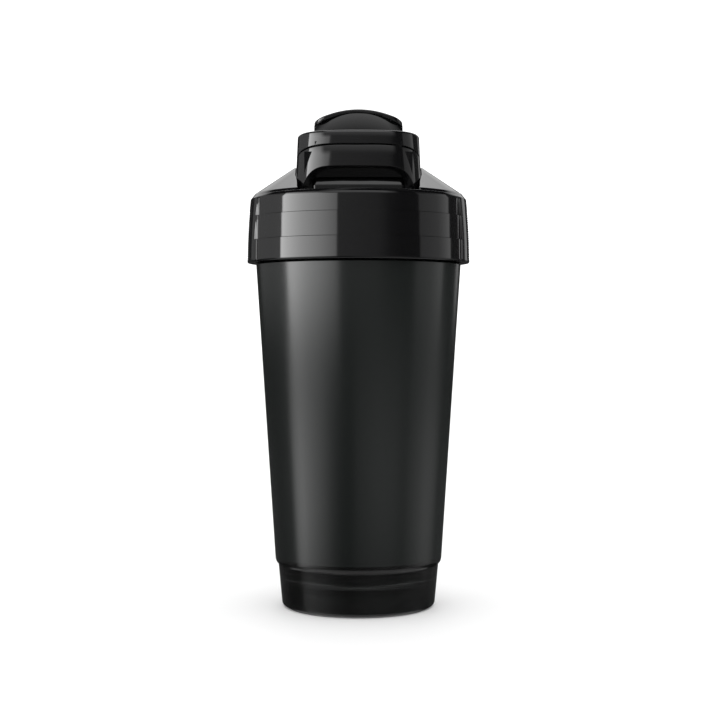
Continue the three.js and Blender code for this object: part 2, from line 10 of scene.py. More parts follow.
import bmesh
import bpy
import numpy as np
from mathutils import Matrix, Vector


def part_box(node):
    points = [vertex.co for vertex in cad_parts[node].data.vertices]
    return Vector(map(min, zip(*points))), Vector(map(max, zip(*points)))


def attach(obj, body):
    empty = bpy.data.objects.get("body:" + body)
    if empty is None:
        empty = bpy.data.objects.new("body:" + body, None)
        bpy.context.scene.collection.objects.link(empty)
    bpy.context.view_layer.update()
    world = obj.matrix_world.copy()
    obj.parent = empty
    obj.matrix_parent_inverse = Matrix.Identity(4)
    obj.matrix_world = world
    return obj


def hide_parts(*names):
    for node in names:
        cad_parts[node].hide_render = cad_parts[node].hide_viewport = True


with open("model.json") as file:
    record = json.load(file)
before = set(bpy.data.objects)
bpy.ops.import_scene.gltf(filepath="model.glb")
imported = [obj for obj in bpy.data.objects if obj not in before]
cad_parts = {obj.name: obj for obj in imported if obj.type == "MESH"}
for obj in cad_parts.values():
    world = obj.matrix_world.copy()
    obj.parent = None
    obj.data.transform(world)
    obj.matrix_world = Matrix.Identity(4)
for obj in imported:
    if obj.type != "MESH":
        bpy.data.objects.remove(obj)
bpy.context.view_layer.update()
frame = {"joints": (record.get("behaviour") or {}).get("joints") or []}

MM = 0.001


def cad_size(node):
    """Lowest and highest corner of a frame node, in millimetres."""
    low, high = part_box(node)
    return np.array(low) / MM, np.array(high) / MM


def joint_place(name):
    """A joint's point, in millimetres."""
    joint = next(j for j in frame["joints"] if j["name"] == name)
    return np.array(joint["pos_m"]) / MM


# ---------------------------------------------------------------- sizes taken from the frame
CUP_HIGH = cad_size("cup")[1]
LID_LOW, LID_HIGH = cad_size("screw_lid")
PLATE_LOW, PLATE_HIGH = cad_size("cap_top_plate")
LOOP_HIGH = cad_size("carry_loop")[1]
PIN_HIGH = cad_size("hinge_pin")[1]
SEAL_LOW, SEAL_HIGH = cad_size("spout_seal")
GASKET_LOW, GASKET_HIGH = cad_size("lid_gasket")
SIEVE_LOW, SIEVE_HIGH = cad_size("mixing_sieve")
HINGE = joint_place("cap_flip")

HINGE_Y, HINGE_Z = HINGE[1], HINGE[2]
HINGE_RISE = 9.0                        # hinge above the deck
DECK = HINGE_Z - HINGE_RISE             # flat top of the lid, which the hinge stands over
DECK_WALL = 2.0
SKIRT_BOTTOM = LID_LOW[2]
SKIRT_TOP = DECK - 1.2                  # foot of the bevel round the lid
BAND_TOPS = (SKIRT_BOTTOM + 9.5, SKIRT_BOTTOM + 19.9)
LID_RADIUS = LID_HIGH[0]
LID_TOP_RADIUS = LID_RADIUS - 1.5
LID_BORE = CUP_HIGH[0] + 0.3
RIM = CUP_HIGH[2]
EYE_RADIUS = LOOP_HIGH[1] - HINGE_Y

CAP_HALF_WIDTH = 26.6                   # at the cap's front
CAP_FLARE = 0.034                       # sideways growth per millimetre towards the hinge
CAP_FRONT = 41.5
CAP_CORNER = 16.5                       # radius of its front corners in plan
CAP_BOW = 70.0                          # the front bows out on this radius
DRAFT = 0.0016                          # upward narrowing, per millimetre
CAP_FOOT = DECK + 0.6
LOOP_BAR = 3.6
RUN_GAP = 0.4
SEAM_GAP = 0.6                          # open line between the cap's wall and the loop
SPOUT_Y = (SEAL_LOW[1] + SEAL_HIGH[1]) / 2
SPOUT_RADIUS = SEAL_HIGH[0]
SPOUT_WALL = 2.3
SPOUT_LIP = DECK + 14.6
SEAL_SEAT = SPOUT_LIP + 0.3             # the seal's flange stops just over the lip
FLANGE = 1.8                            # thickness of that flange
PLINTH_TOP = DECK + 5.6
PLINTH_FRONT = -CAP_FRONT + 7.5
PLINTH_HALF_WIDTH = CAP_HALF_WIDTH - 7.2
PLATE_FRONT = PLATE_LOW[1]
PLATE_TOP = PLATE_HIGH[2]
PLATE_HALF_WIDTH = PLATE_HIGH[0]


# ---------------------------------------------------------------- curves
def smoothstep(value, low, high):
    """0 below low, 1 above high, and an even ease between them."""
    share = np.clip((value - low) / (high - low), 0.0, 1.0)
    return share * share * (3 - 2 * share)


def rounded(corners, arc_points=5):
    """A path through (r, z, fillet radius) corners, each corner eased by an arc."""
    path = []
    last = len(corners) - 1
    for i, (r, z, radius) in enumerate(corners):
        here = np.array([r, z], float)
        if radius <= 0 or i in (0, last):
            path.append(here)
            continue
        before = np.array(corners[i - 1][:2], float) - here
        after = np.array(corners[i + 1][:2], float) - here
        reach_before, reach_after = np.linalg.norm(before), np.linalg.norm(after)
        before, after = before / reach_before, after / reach_after
        half = math.acos(float(np.clip(before @ after, -1, 1))) / 2
        setback = min(radius / math.tan(half), 0.48 * reach_before, 0.48 * reach_after)
        bow = setback * math.tan(half)
        middle = (before + after) / np.linalg.norm(before + after)
        centre = here + middle * (bow / math.sin(half))
        start, end = here + before * setback - centre, here + after * setback - centre
        turn = math.acos(float(np.clip(start @ end / (bow * bow), -1, 1)))
        for k in range(arc_points + 1):
            share = k / arc_points
            a = math.sin((1 - share) * turn) / math.sin(turn)
            b = math.sin(share * turn) / math.sin(turn)
            path.append(centre + start * a + end * b)
    return np.array(path)


# ---------------------------------------------------------------- mesh building
def put_together(name, points, faces, sharp_degrees=38.0):
    """A mesh object from points in millimetres: doubles joined, normals out, smooth between creases."""
    mesh = bpy.data.meshes.new(name)
    mesh.from_pydata([tuple(p) for p in np.asarray(points, float) * MM], [], faces)
    build = bmesh.new()
    build.from_mesh(mesh)
    bmesh.ops.remove_doubles(build, verts=build.verts, dist=2e-6)
    bmesh.ops.dissolve_degenerate(build, edges=build.edges, dist=1e-6)
    bmesh.ops.recalc_face_normals(build, faces=build.faces)
    build.to_mesh(mesh)
    build.free()
    mesh.shade_smooth()
    mesh.set_sharp_from_angle(angle=math.radians(sharp_degrees))
    piece = bpy.data.objects.new(name, mesh)
    bpy.context.scene.collection.objects.link(piece)
    return piece


def grid(rows, wrap_rows=False, wrap_columns=False, cap_ends=False, start=0):
    """Points and faces of a sheet of quads; rows is an array (rows, columns, 3)."""
    rows = np.asarray(rows, float)
    count, width = rows.shape[:2]
    faces = []
    for i in range(count if wrap_rows else count - 1):
        for j in range(width if wrap_columns else width - 1):
            a, b = start + i * width + j, start + i * width + (j + 1) % width
            c, d = start + ((i + 1) % count) * width + (j + 1) % width, start + ((i + 1) % count) * width + j
            faces.append((a, b, c, d))
    if cap_ends:
        faces.append(tuple(start + j for j in range(width)))
        faces.append(tuple(start + (count - 1) * width + j for j in reversed(range(width))))
    return rows.reshape(-1, 3), faces


def turned(profile, sides=192, centre=(0.0, 0.0)):
    """Rows of points of a round body: profile is (r, z), columns run round the axis."""
    angles = np.linspace(0, 2 * math.pi, sides, endpoint=False)
    profile = np.asarray(profile, float)
    rows = np.empty((len(profile), sides, 3))
    rows[:, :, 0] = centre[0] + profile[:, :1] * np.cos(angles)
    rows[:, :, 1] = centre[1] + profile[:, :1] * np.sin(angles)
    rows[:, :, 2] = profile[:, 1:]
    return rows


def turned_piece(name, profile, sides=192, centre=(0.0, 0.0), closed=False, sharp_degrees=38.0):
    """A round mesh object; closed joins the profile's end to its start."""
    points, faces = grid(turned(profile, sides, centre), wrap_rows=closed, wrap_columns=True)
    return put_together(name, points, faces, sharp_degrees)


def join_parts(name, parts, sharp_degrees=38.0):
    """One mesh object from several (points, faces) sheets."""
    all_points, all_faces = [], []
    for points, faces in parts:
        shift = sum(len(p) for p in all_points)
        all_points.append(points)
        all_faces += [tuple(i + shift for i in face) for face in faces]
    return put_together(name, np.concatenate(all_points), all_faces, sharp_degrees)


def slab(name, outline, low, high, axis, bevel, segments=3, far_outline=None):
    """A plate: an outline pulled along x or z to itself or to another, with its edges rounded."""
    outlines = [np.asarray(o, float) for o in (outline, far_outline or outline)]
    rows = np.empty((2, len(outline), 3))
    kept = [1, 2] if axis == 0 else [0, 1]
    for row, place, line in zip(rows, (low, high), outlines):
        row[:, kept] = line
        row[:, axis] = place
    points, faces = grid(rows, wrap_columns=True, cap_ends=True)
    piece = put_together(name, points, faces, 50.0)
    rounding = piece.modifiers.new("rounded_edges", "BEVEL")
    rounding.width = bevel * MM
    rounding.segments = segments
    rounding.limit_method = "ANGLE"
    rounding.angle_limit = math.radians(40)
    rounding.harden_normals = True
    return piece


def arc(centre, radius, start, end, steps=24):
    """Points of an arc, angles in degrees."""
    angles = np.radians(np.linspace(start, end, steps + 1))
    return [(centre[0] + radius * math.cos(a), centre[1] + radius * math.sin(a)) for a in angles]


def dress(piece, body, slot, *materials, replaces=()):
    """Gives a piece its materials and its body, and hides the frame nodes that it replaces; the slot argument
    is not used.
    """
    for material in materials:
        piece.data.materials.append(material)
    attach(piece, body)
    if replaces:
        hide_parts(*replaces)
    return piece


# ---------------------------------------------------------------- shader groups
def new_group(name, inputs, outputs):
    """An empty node group with float inputs {name: default} and (name, socket type) outputs."""
    group = bpy.data.node_groups.new(name, "ShaderNodeTree")
    for socket, default in inputs.items():
        entry = group.interface.new_socket(socket, in_out="INPUT", socket_type="NodeSocketFloat")
        entry.default_value = default
    for socket, kind in outputs:
        group.interface.new_socket(socket, in_out="OUTPUT", socket_type=kind)
    return group, group.nodes.new("NodeGroupInput"), group.nodes.new("NodeGroupOutput")


def noise(group, scale, detail, roughness=0.5, stretch=None):
    """A noise texture over object space, in cells per metre, stretched if asked."""
    nodes, links = group.nodes, group.links
    where = nodes.new("ShaderNodeTexCoord")
    texture = nodes.new("ShaderNodeTexNoise")
    texture.inputs["Scale"].default_value = scale
    texture.inputs["Detail"].default_value = detail
    texture.inputs["Roughness"].default_value = roughness
    if stretch:
        mapping = nodes.new("ShaderNodeMapping")
        mapping.inputs["Scale"].default_value = stretch
        links.new(where.outputs["Object"], mapping.inputs["Vector"])
        links.new(mapping.outputs["Vector"], texture.inputs["Vector"])
    else:
        links.new(where.outputs["Object"], texture.inputs["Vector"])
    return texture


def remap(group, source, low, high, to_low, to_high):
    """A map-range node fed by a socket."""
    node = group.nodes.new("ShaderNodeMapRange")
    node.inputs["From Min"].default_value = low
    node.inputs["From Max"].default_value = high
    node.inputs["To Min"].default_value = to_low
    node.inputs["To Max"].default_value = to_high
    group.links.new(source, node.inputs["Value"])
    return node.outputs["Result"]


def combine(group, kind, first, second):
    """A math node on two sockets or numbers."""
    node = group.nodes.new("ShaderNodeMath")
    node.operation = kind
    for socket, value in zip(node.inputs, (first, second)):
        if isinstance(value, (int, float)):
            socket.default_value = value
        else:
            group.links.new(value, socket)
    return node.outputs["Value"]


def make_handling_group():
    """Soft smudges and hair-fine rubbing of a handled plastic: a roughness and a height."""
    group, given, result = new_group(
        "handling_marks", {"Roughness": 0.1, "Smudge": 0.05, "Rubbing": 0.05},
        [("Roughness", "NodeSocketFloat"), ("Height", "NodeSocketFloat")])
    smudge = remap(group, noise(group, 38, 3, 0.55).outputs["Fac"], 0.45, 0.7, 0.0, 1.0)
    rubbing_noise = noise(group, 420, 2, 0.6, stretch=(1.0, 1.0, 0.12))
    rubbing = remap(group, rubbing_noise.outputs["Fac"], 0.62, 0.78, 0.0, 1.0)
    soft = combine(group, "MULTIPLY", smudge, given.outputs["Smudge"])
    fine = combine(group, "MULTIPLY", rubbing, given.outputs["Rubbing"])
    total = combine(group, "ADD", given.outputs["Roughness"], combine(group, "ADD", soft, fine))
    group.links.new(total, result.inputs["Roughness"])
    waviness = noise(group, 95, 2, 0.4)
    height = combine(group, "ADD", waviness.outputs["Fac"], combine(group, "MULTIPLY", rubbing, 0.02))
    group.links.new(height, result.inputs["Height"])
    return group


def make_grain_group():
    """Surface of a moulding: a fine spark-eroded grain and a slow cloudiness."""
    group, _, result = new_group(
        "mould_grain", {}, [("Grain", "NodeSocketFloat"), ("Cloud", "NodeSocketFloat")])
    grain = noise(group, 2600, 3, 0.65)
    cloud = noise(group, 22, 4, 0.5)
    group.links.new(grain.outputs["Fac"], result.inputs["Grain"])
    group.links.new(cloud.outputs["Fac"], result.inputs["Cloud"])
    return group


HANDLING = make_handling_group()
GRAIN = make_grain_group()


# ---------------------------------------------------------------- materials
def new_material(name, **values):
    """A Principled material; plain values go straight to the shader's own sockets."""
    material = bpy.data.materials.new(name)
    material.use_nodes = True
    shader = material.node_tree.nodes["Principled BSDF"]
    for socket, value in values.items():
        shader.inputs[socket.replace("_", " ")].default_value = value
    return material, material.node_tree, shader


def place_group(tree, group, **values):
    """A shader group in a material, with its own values."""
    node = tree.nodes.new("ShaderNodeGroup")
    node.node_tree = group
    for socket, value in values.items():
        node.inputs[socket].default_value = value
    return node


def bump(tree, shader, height, distance, strength):
    """Relief from a height, into the shader's normal."""
    node = tree.nodes.new("ShaderNodeBump")
    node.inputs["Distance"].default_value = distance
    node.inputs["Strength"].default_value = strength
    tree.links.new(height, node.inputs["Height"])
    tree.links.new(node.outputs["Normal"], shader.inputs["Normal"])


def mixed_colour(tree, shader, factor, first, second):
    """Base colour between two tones, by a mask."""
    node = tree.nodes.new("ShaderNodeMix")
    node.data_type = "RGBA"
    node.inputs["A"].default_value = (*first, 1)
    node.inputs["B"].default_value = (*second, 1)
    tree.links.new(factor, node.inputs["Factor"])
    tree.links.new(node.outputs["Result"], shader.inputs["Base Color"])


def gloss_black():
    """Polished black moulding with faint waviness and handling marks."""
    material, tree, shader = new_material("gloss_black_plastic", IOR=1.49, Specular_IOR_Level=0.5)
    marks = place_group(tree, HANDLING, Roughness=0.045, Smudge=0.035, Rubbing=0.06)
    tree.links.new(marks.outputs["Roughness"], shader.inputs["Roughness"])
    bump(tree, shader, marks.outputs["Height"], 0.00002, 0.25)
    grain = place_group(tree, GRAIN)
    mixed_colour(tree, shader, grain.outputs["Cloud"], (0.0022, 0.0022, 0.0024), (0.0035, 0.0035, 0.0038))
    return material


def frosted_smoke():
    """The cup's frosted wall: dark smoke with a fine even grain."""
    material, tree, shader = new_material("frosted_smoke_plastic", IOR=1.49)
    grain = place_group(tree, GRAIN)
    tree.links.new(remap(tree, grain.outputs["Grain"], 0.3, 0.7, 0.16, 0.24), shader.inputs["Roughness"])
    mixed_colour(tree, shader, grain.outputs["Cloud"], (0.0050, 0.0064, 0.0059), (0.0072, 0.0088, 0.0082))
    bump(tree, shader, grain.outputs["Grain"], 0.00003, 0.2)
    return material


def clear_smoke():
    """The polished foot and the inside of the cup: see-through dark smoke."""
    material, tree, shader = new_material(
        "clear_smoke_plastic", IOR=1.49, Transmission_Weight=0.9)
    marks = place_group(tree, HANDLING, Roughness=0.05, Smudge=0.04, Rubbing=0.05)
    tree.links.new(marks.outputs["Roughness"], shader.inputs["Roughness"])
    grain = place_group(tree, GRAIN)
    mixed_colour(tree, shader, grain.outputs["Cloud"], (0.035, 0.037, 0.036), (0.050, 0.052, 0.051))
    bump(tree, shader, marks.outputs["Height"], 0.00002, 0.25)
    return material


def matte_black():
    """Finely grained black moulding of the sieve."""
    material, tree, shader = new_material("matte_black_plastic", IOR=1.49)
    grain = place_group(tree, GRAIN)
    tree.links.new(remap(tree, grain.outputs["Grain"], 0.3, 0.7, 0.38, 0.5), shader.inputs["Roughness"])
    mixed_colour(tree, shader, grain.outputs["Cloud"], (0.012, 0.012, 0.013), (0.018, 0.018, 0.019))
    bump(tree, shader, grain.outputs["Grain"], 0.00004, 0.4)
    return material


def soft_seal():
    """Matte dark silicone with a slight bloom."""
    material, tree, shader = new_material(
        "soft_silicone", IOR=1.43, Sheen_Weight=0.15, Sheen_Roughness=0.5)
    grain = place_group(tree, GRAIN)
    tree.links.new(remap(tree, grain.outputs["Cloud"], 0.3, 0.7, 0.6, 0.75), shader.inputs["Roughness"])
    mixed_colour(tree, shader, grain.outputs["Cloud"], (0.030, 0.030, 0.032), (0.045, 0.045, 0.047))
    bump(tree, shader, grain.outputs["Grain"], 0.00005, 0.4)
    return material


def pin_steel():
    """Drawn steel rod with fine marks along it."""
    material, tree, shader = new_material("drawn_steel", Metallic=1.0)
    marks = place_group(tree, HANDLING, Roughness=0.22, Smudge=0.08, Rubbing=0.15)
    tree.links.new(marks.outputs["Roughness"], shader.inputs["Roughness"])
    grain = place_group(tree, GRAIN)
    mixed_colour(tree, shader, grain.outputs["Cloud"], (0.50, 0.50, 0.51), (0.60, 0.60, 0.61))
    bump(tree, shader, marks.outputs["Height"], 0.00002, 0.3)
    return material


BLACK = gloss_black()
FROSTED = frosted_smoke()
CLEAR = clear_smoke()
MATTE = matte_black()
SEAL = soft_seal()
STEEL = pin_steel()


# ---------------------------------------------------------------- cup
def thread_ridge(radius, start_z, start_angle, turns=0.8, lead=12.0, thickness=0.9):
    """A round ridge along the thread, faded in and out at its ends."""
    steps, sides = 110, 14
    rows = []
    for i in range(steps + 1):
        share = i / steps
        angle = start_angle + share * turns * 2 * math.pi
        size = thickness * min(1.0, 0.25 + 9 * min(share, 1 - share))
        z = start_z + share * turns * lead
        around = np.linspace(0, 2 * math.pi, sides, endpoint=False)
        reach = radius + size * np.cos(around)
        rows.append(np.stack([reach * math.cos(angle), reach * math.sin(angle),
                              z + size * np.sin(around)], 1))
    return grid(rows, wrap_columns=True, cap_ends=True)


def make_cup():
    """One moulding: polished hollow foot, rounded step, frosted taper, threaded neck."""
    foot_radius, foot_top, foot_height = 34.3, 35.9, 19.2
    low_radius, top_radius = 37.3, CUP_HIGH[0]
    step_top, shoulder = 22.6, SKIRT_BOTTOM - 0.5
    neck = top_radius - 1.7
    wall = 2.0
    slope = (top_radius - low_radius) / (shoulder - step_top)

    def inside(z):
        return low_radius + slope * (z - step_top) - wall

    outer = rounded([
        (0, 2.6, 0), (21.0, 2.6, 3.0), (30.2, 9.0, 5.0), (31.9, 16.6, 1.0),
        (31.75, 15.6, 0.3), (32.1, 15.1, 0.3), (31.7, 14.6, 0.3),
        (31.6, 13.0, 0.3), (31.95, 12.5, 0.3), (31.5, 12.0, 0.3),
        (31.1, 2.0, 0.5), (31.1, 0.0, 0.4), (32.4, 0.0, 0.8),
        (foot_radius - 0.1, 1.0, 1.6), (foot_top, foot_height, 0.4),
        (foot_top + 0.9, foot_height + 0.7, 0.7), (low_radius - 0.1, foot_height + 1.9, 1.1),
        (low_radius + 0.02, step_top, 1.0), (top_radius, shoulder, 0.4),
        (neck, shoulder, 0.4), (neck, RIM, 0.7), (neck - wall, RIM, 0.6),
        (neck - wall, shoulder - 4, 6.0), (inside(30), 30.0, 12.0),
        (inside(22) - 1.2, 14.0, 10.0), (20.0, 4.8, 8.0), (0, 4.8, 0),
    ])
    parts = [grid(turned(outer, 256), wrap_columns=True)]
    for start in (0.0, math.pi):
        parts.append(thread_ridge(neck + 0.25, SKIRT_BOTTOM + 2.4, start))
    cup = join_parts("cup_shell", parts)
    dress(cup, "cup_body", "smoke_plastic", FROSTED, CLEAR, replaces=("cup",))
    # frost only on the outside of the taper; foot, neck and inside are polished
    for face in cup.data.polygons:
        centre = face.center / MM
        radius = math.hypot(centre.x, centre.y)
        on_wall = step_top + 0.6 < centre.z < shoulder + 0.1 and radius > inside(centre.z) + wall / 2
        face.material_index = 0 if on_wall else 1
    return cup


make_cup()


def half_width(y, inset=0.0):
    """Half-width of the cap and loop at y; their sides spread a little towards the hinge."""
    return CAP_HALF_WIDTH + CAP_FLARE * (y + CAP_FRONT) - inset


# ---------------------------------------------------------------- screw lid
RIB_PITCH = 1.0
PAD_END = 23.2                          # degrees from the side, where the pad's surface ends
GROOVE = (25.0, 26.3)                   # upright groove between pad and bands
BAND_END = 29.5                         # where the bands begin to fall towards the groove
GRIP_END = 15.0                         # edge of the ribbed middle of the pad
BEVEL_RISE, BEVEL_RUN = 2.3, 1.85       # bevel at the foot of the shoulder
SHOULDER_SLOPE = 0.675
CHANNEL_GAP = 0.15                      # shoulder to the sides of the cap


def banded_radius(z):
    """The skirt's outside: three bands, each standing in from the one below."""
    share = (z - SKIRT_BOTTOM) / (SKIRT_TOP - SKIRT_BOTTOM)
    radius = LID_RADIUS - 0.35 * share
    for edge in BAND_TOPS:
        radius = radius - 0.5 * smoothstep(z, edge, edge + 0.22)
    return radius


def padded_radius(z):
    """The skirt's outside at the side pads."""
    share = (z - SKIRT_BOTTOM) / (SKIRT_TOP - SKIRT_BOTTOM)
    return LID_RADIUS - 1.5 * share ** 1.9


def grip_depth(z):
    """Fine level ribs cut into the middle of each pad."""
    above = smoothstep(z, SKIRT_BOTTOM + 1.2, SKIRT_BOTTOM + 1.8)
    below = 1 - smoothstep(z, SKIRT_TOP - 5.4, SKIRT_TOP - 4.8)
    return above * below * 0.14 * (1 - math.cos(2 * math.pi * (z - SKIRT_BOTTOM) / RIB_PITCH))


def skirt_radius(from_side, z):
    """Radius of the skirt for each angle from the side, in degrees."""
    band, pad = banded_radius(z), padded_radius(z)
    fall = 0.4 * np.clip((BAND_END - from_side) / (BAND_END - GROOVE[1]), 0, 1) ** 1.3
    in_groove = np.clip((GROOVE[1] - from_side) / (GROOVE[1] - GROOVE[0]), 0, 1)
    groove = 0.55 * np.sin(math.pi * in_groove)
    to_pad = smoothstep(-from_side, -GROOVE[0], -PAD_END)
    ribs = grip_depth(z) * (1 - smoothstep(from_side, GRIP_END - 0.8, GRIP_END))
    return (band - fall) * (1 - to_pad) + pad * to_pad - groove - ribs


def lid_angles():
    """Angles round the lid, closer together where the pads end."""
    ends = np.concatenate([np.linspace(PAD_END - 0.6, BAND_END + 0.4, 22),
                           [GRIP_END - 0.8, GRIP_END - 0.4, GRIP_END]])
    ends = [side + sign * end for side in (0, 180) for sign in (-1, 1) for end in ends]
    even = [a for a in np.linspace(0, 360, 240, endpoint=False)
            if all(abs((a - e + 180) % 360 - 180) > 0.3 for e in ends)]
    return np.radians(np.array(sorted([*even, *(e % 360 for e in ends)])))


def make_lid():
    """Skirt, deck and spout as one sheet that closes on itself, with the thread inside."""
    angles = lid_angles()
    across, along = np.cos(angles), np.sin(angles)
    from_side = np.abs(np.degrees(np.arcsin(np.clip(along, -1, 1))))
    rows = []

    def ring_row(radius, z, share=0.0):
        """A row round the lid, moved towards the spout's axis by share."""
        rows.append(np.stack([radius * across, radius * along + share * SPOUT_Y,
                              np.full_like(angles, z)], 1))

    # underside of the skirt, then the outside from its lower edge to the shoulder
    for r, z in rounded([(LID_BORE + 1.5, SKIRT_BOTTOM, 0), (LID_RADIUS, SKIRT_BOTTOM, 0.55),
                         (LID_RADIUS, SKIRT_BOTTOM + 3, 0)])[:-1]:
        ring_row(r, z)
    steps = [edge + d for edge in BAND_TOPS
             for d in (-0.6, -0.1, 0.0, 0.04, 0.09, 0.14, 0.18, 0.22, 0.3, 0.7)]
    ribbed = list(np.arange(SKIRT_BOTTOM + 1.0, SKIRT_TOP - 4.5, RIB_PITCH / 6))
    plain = list(np.linspace(SKIRT_TOP - 4.0, SKIRT_TOP - 0.5, 5))
    for z in sorted([*steps, *ribbed, *plain]):
        ring_row(skirt_radius(from_side, z), z)
    edge, run = LID_TOP_RADIUS, DECK - SKIRT_TOP
    bevel_run = run * BEVEL_RUN / BEVEL_RISE
    for r, z in rounded([(edge + 0.02, SKIRT_TOP - 0.5, 0), (edge, SKIRT_TOP, 0.25),
                         (edge - bevel_run, DECK, 0.3), (edge - 3, DECK, 0)])[1:]:
        ring_row(r, z)
    # deck towards the spout, spout outside, lip, bore
    for share in (0.25, 0.5, 0.75):
        ring_row(edge - 3 - share * (edge - 3 - SPOUT_RADIUS - 2.0), DECK, share)
    lip, bore = SPOUT_LIP, SPOUT_RADIUS - SPOUT_WALL
    spout = rounded([
        (SPOUT_RADIUS + 2.0, DECK, 0), (SPOUT_RADIUS, DECK, 0.8), (SPOUT_RADIUS, lip - 3.0, 1.0),
        (SPOUT_RADIUS, lip, 0.9), (bore, lip, 0.9),
        (bore, DECK - DECK_WALL, 0.8), (SPOUT_RADIUS, DECK - DECK_WALL, 0)])
    for r, z in spout:
        ring_row(r, z, 1.0)
    # underside of the deck, the ring that holds the sieve, the land and the threaded bore
    land = GASKET_HIGH[2] + 0.3
    plug_outer = SIEVE_HIGH[0] + 0.3 + 2.0
    under = rounded([
        (plug_outer - 2.0, DECK - DECK_WALL, 0.8), (plug_outer - 2.0, land - 7.0, 0.5),
        (plug_outer, land - 7.0, 0.5), (plug_outer, land, 0.4), (LID_BORE, land, 0.6),
        (LID_BORE, SKIRT_BOTTOM, 0.5), (LID_BORE + 1.5, SKIRT_BOTTOM, 0)])
    for r, z in under:
        ring_row(r, z)
    parts = [grid(rows, wrap_columns=True)]
    for start in (0.0, math.pi):
        parts.append(thread_ridge(LID_BORE + 0.35, SKIRT_BOTTOM + 5.4, start))
    lid = join_parts("lid_skirt_and_deck", parts)
    return dress(lid, "lid", "gloss_black", BLACK, replaces=("screw_lid",))


def shoulder_height(radius):
    """The sloping shoulder's height over the table."""
    return SKIRT_TOP + BEVEL_RISE + SHOULDER_SLOPE * (LID_TOP_RADIUS - BEVEL_RUN - radius)


def make_shoulder(side):
    """One side of the sloping shoulder, from the channel's wall out to the bevel."""
    start = half_width(0.0) + CHANNEL_GAP
    bevel_top = LID_TOP_RADIUS - BEVEL_RUN
    bevel_foot = LID_TOP_RADIUS - (DECK - SKIRT_TOP) * BEVEL_RUN / BEVEL_RISE
    rows = []
    for angle in np.radians(np.linspace(-56.0, 53.5, 150)):
        # in front, the channel draws in a little towards the cap's round corners
        tuck = 0.045 * smoothstep(-angle, math.radians(38), math.radians(54))
        def channel(z):
            narrowing = 1 - DRAFT * (z - DECK) - tuck
            return start * narrowing / (math.cos(angle) - CAP_FLARE * narrowing * math.sin(angle))
        inner_foot = channel(DECK)
        inner = min(channel(shoulder_height(inner_foot)), bevel_top - 0.3)
        foot = min(max(inner_foot, inner), bevel_foot - 0.3)
        room = bevel_top - inner
        ease, top = min(0.5, 0.3 * room), shoulder_height(inner)
        section = rounded([
            (foot, DECK - 0.6, 0), (inner, top, ease), (bevel_top, shoulder_height(bevel_top), ease),
            (bevel_foot, DECK, 0.1), (bevel_foot - 0.02, DECK - 0.6, 0)], 6)
        middle = 8
        slope = np.linspace(section[middle - 1], section[middle], 14)[1:-1]
        section = np.concatenate([section[:middle], slope, section[middle:]])
        rows.append(np.stack([side * section[:, 0] * math.cos(angle),
                              section[:, 0] * math.sin(angle), section[:, 1]], 1))
    points, faces = grid(rows, wrap_columns=True, cap_ends=True)
    name = "shoulder_right" if side > 0 else "shoulder_left"
    return dress(put_together(name, points, faces, 30.0), "lid", "gloss_black", BLACK)


def plinth_outline(setback):
    """Plan of the raised base of the spout: tight front corners, a bowed front, and a shoulder
    on each side behind the cap's curtain."""
    wide, front, radius, bow = PLINTH_HALF_WIDTH, PLINTH_FRONT + setback, 1.2, 0.8
    flat = wide - radius
    corner = arc((-flat, front + bow + radius), radius, 180, 268, 8)
    middle = [(x, front + bow - bow * math.cos(x / flat * math.pi / 2))
              for x in np.linspace(-flat + 0.2, flat - 0.2, 25)]
    other = [(-x, y) for x, y in reversed(corner)]
    broad, ledge = wide + 0.9, max(PLINTH_FRONT + 3.1, front + bow + radius + 0.3)
    return [(-broad, 0.0), (-broad, ledge), (-wide, ledge), *corner, *middle, *other,
            (wide, ledge), (broad, ledge), (broad, 0.0)]


def make_plinth():
    """Two steps that the spout stands on."""
    for name, foot, crown, top in (("plinth_lower", 0.0, 0.0, 2.8),
                                   ("plinth_upper", 0.6, 2.1, PLINTH_TOP - DECK)):
        plate = slab(name, plinth_outline(foot), DECK - 0.5, DECK + top, 2, 0.3,
                     far_outline=plinth_outline(crown))
        dress(plate, "lid", "gloss_black", BLACK)


def make_hinge_towers():
    """Two ears on the deck that carry the hinge pin."""
    width = HINGE_Y * CAP_FLARE + CAP_HALF_WIDTH + CAP_FLARE * CAP_FRONT
    eye_outer = width * (1 - DRAFT * HINGE_RISE) - LOOP_BAR - RUN_GAP
    tower_outer = eye_outer - 2.4 - 1.0 - RUN_GAP
    crown = EYE_RADIUS - 1.0
    outline = [(HINGE_Y - EYE_RADIUS - 1, DECK - 0.4), (HINGE_Y + EYE_RADIUS + 1, DECK - 0.4),
               *arc((HINGE_Y, HINGE_Z), crown, 0, 180)]
    for side, name in ((-1, "hinge_tower_left"), (1, "hinge_tower_right")):
        ends = sorted((side * tower_outer, side * (tower_outer - 4.0)))
        dress(slab(name, outline, ends[0], ends[1], 0, 0.6), "lid", "gloss_black", BLACK)
    return tower_outer - 4.0, eye_outer


make_lid()
make_shoulder(-1)
make_shoulder(1)
make_plinth()
TOWER_INNER, EYE_OUTER = make_hinge_towers()


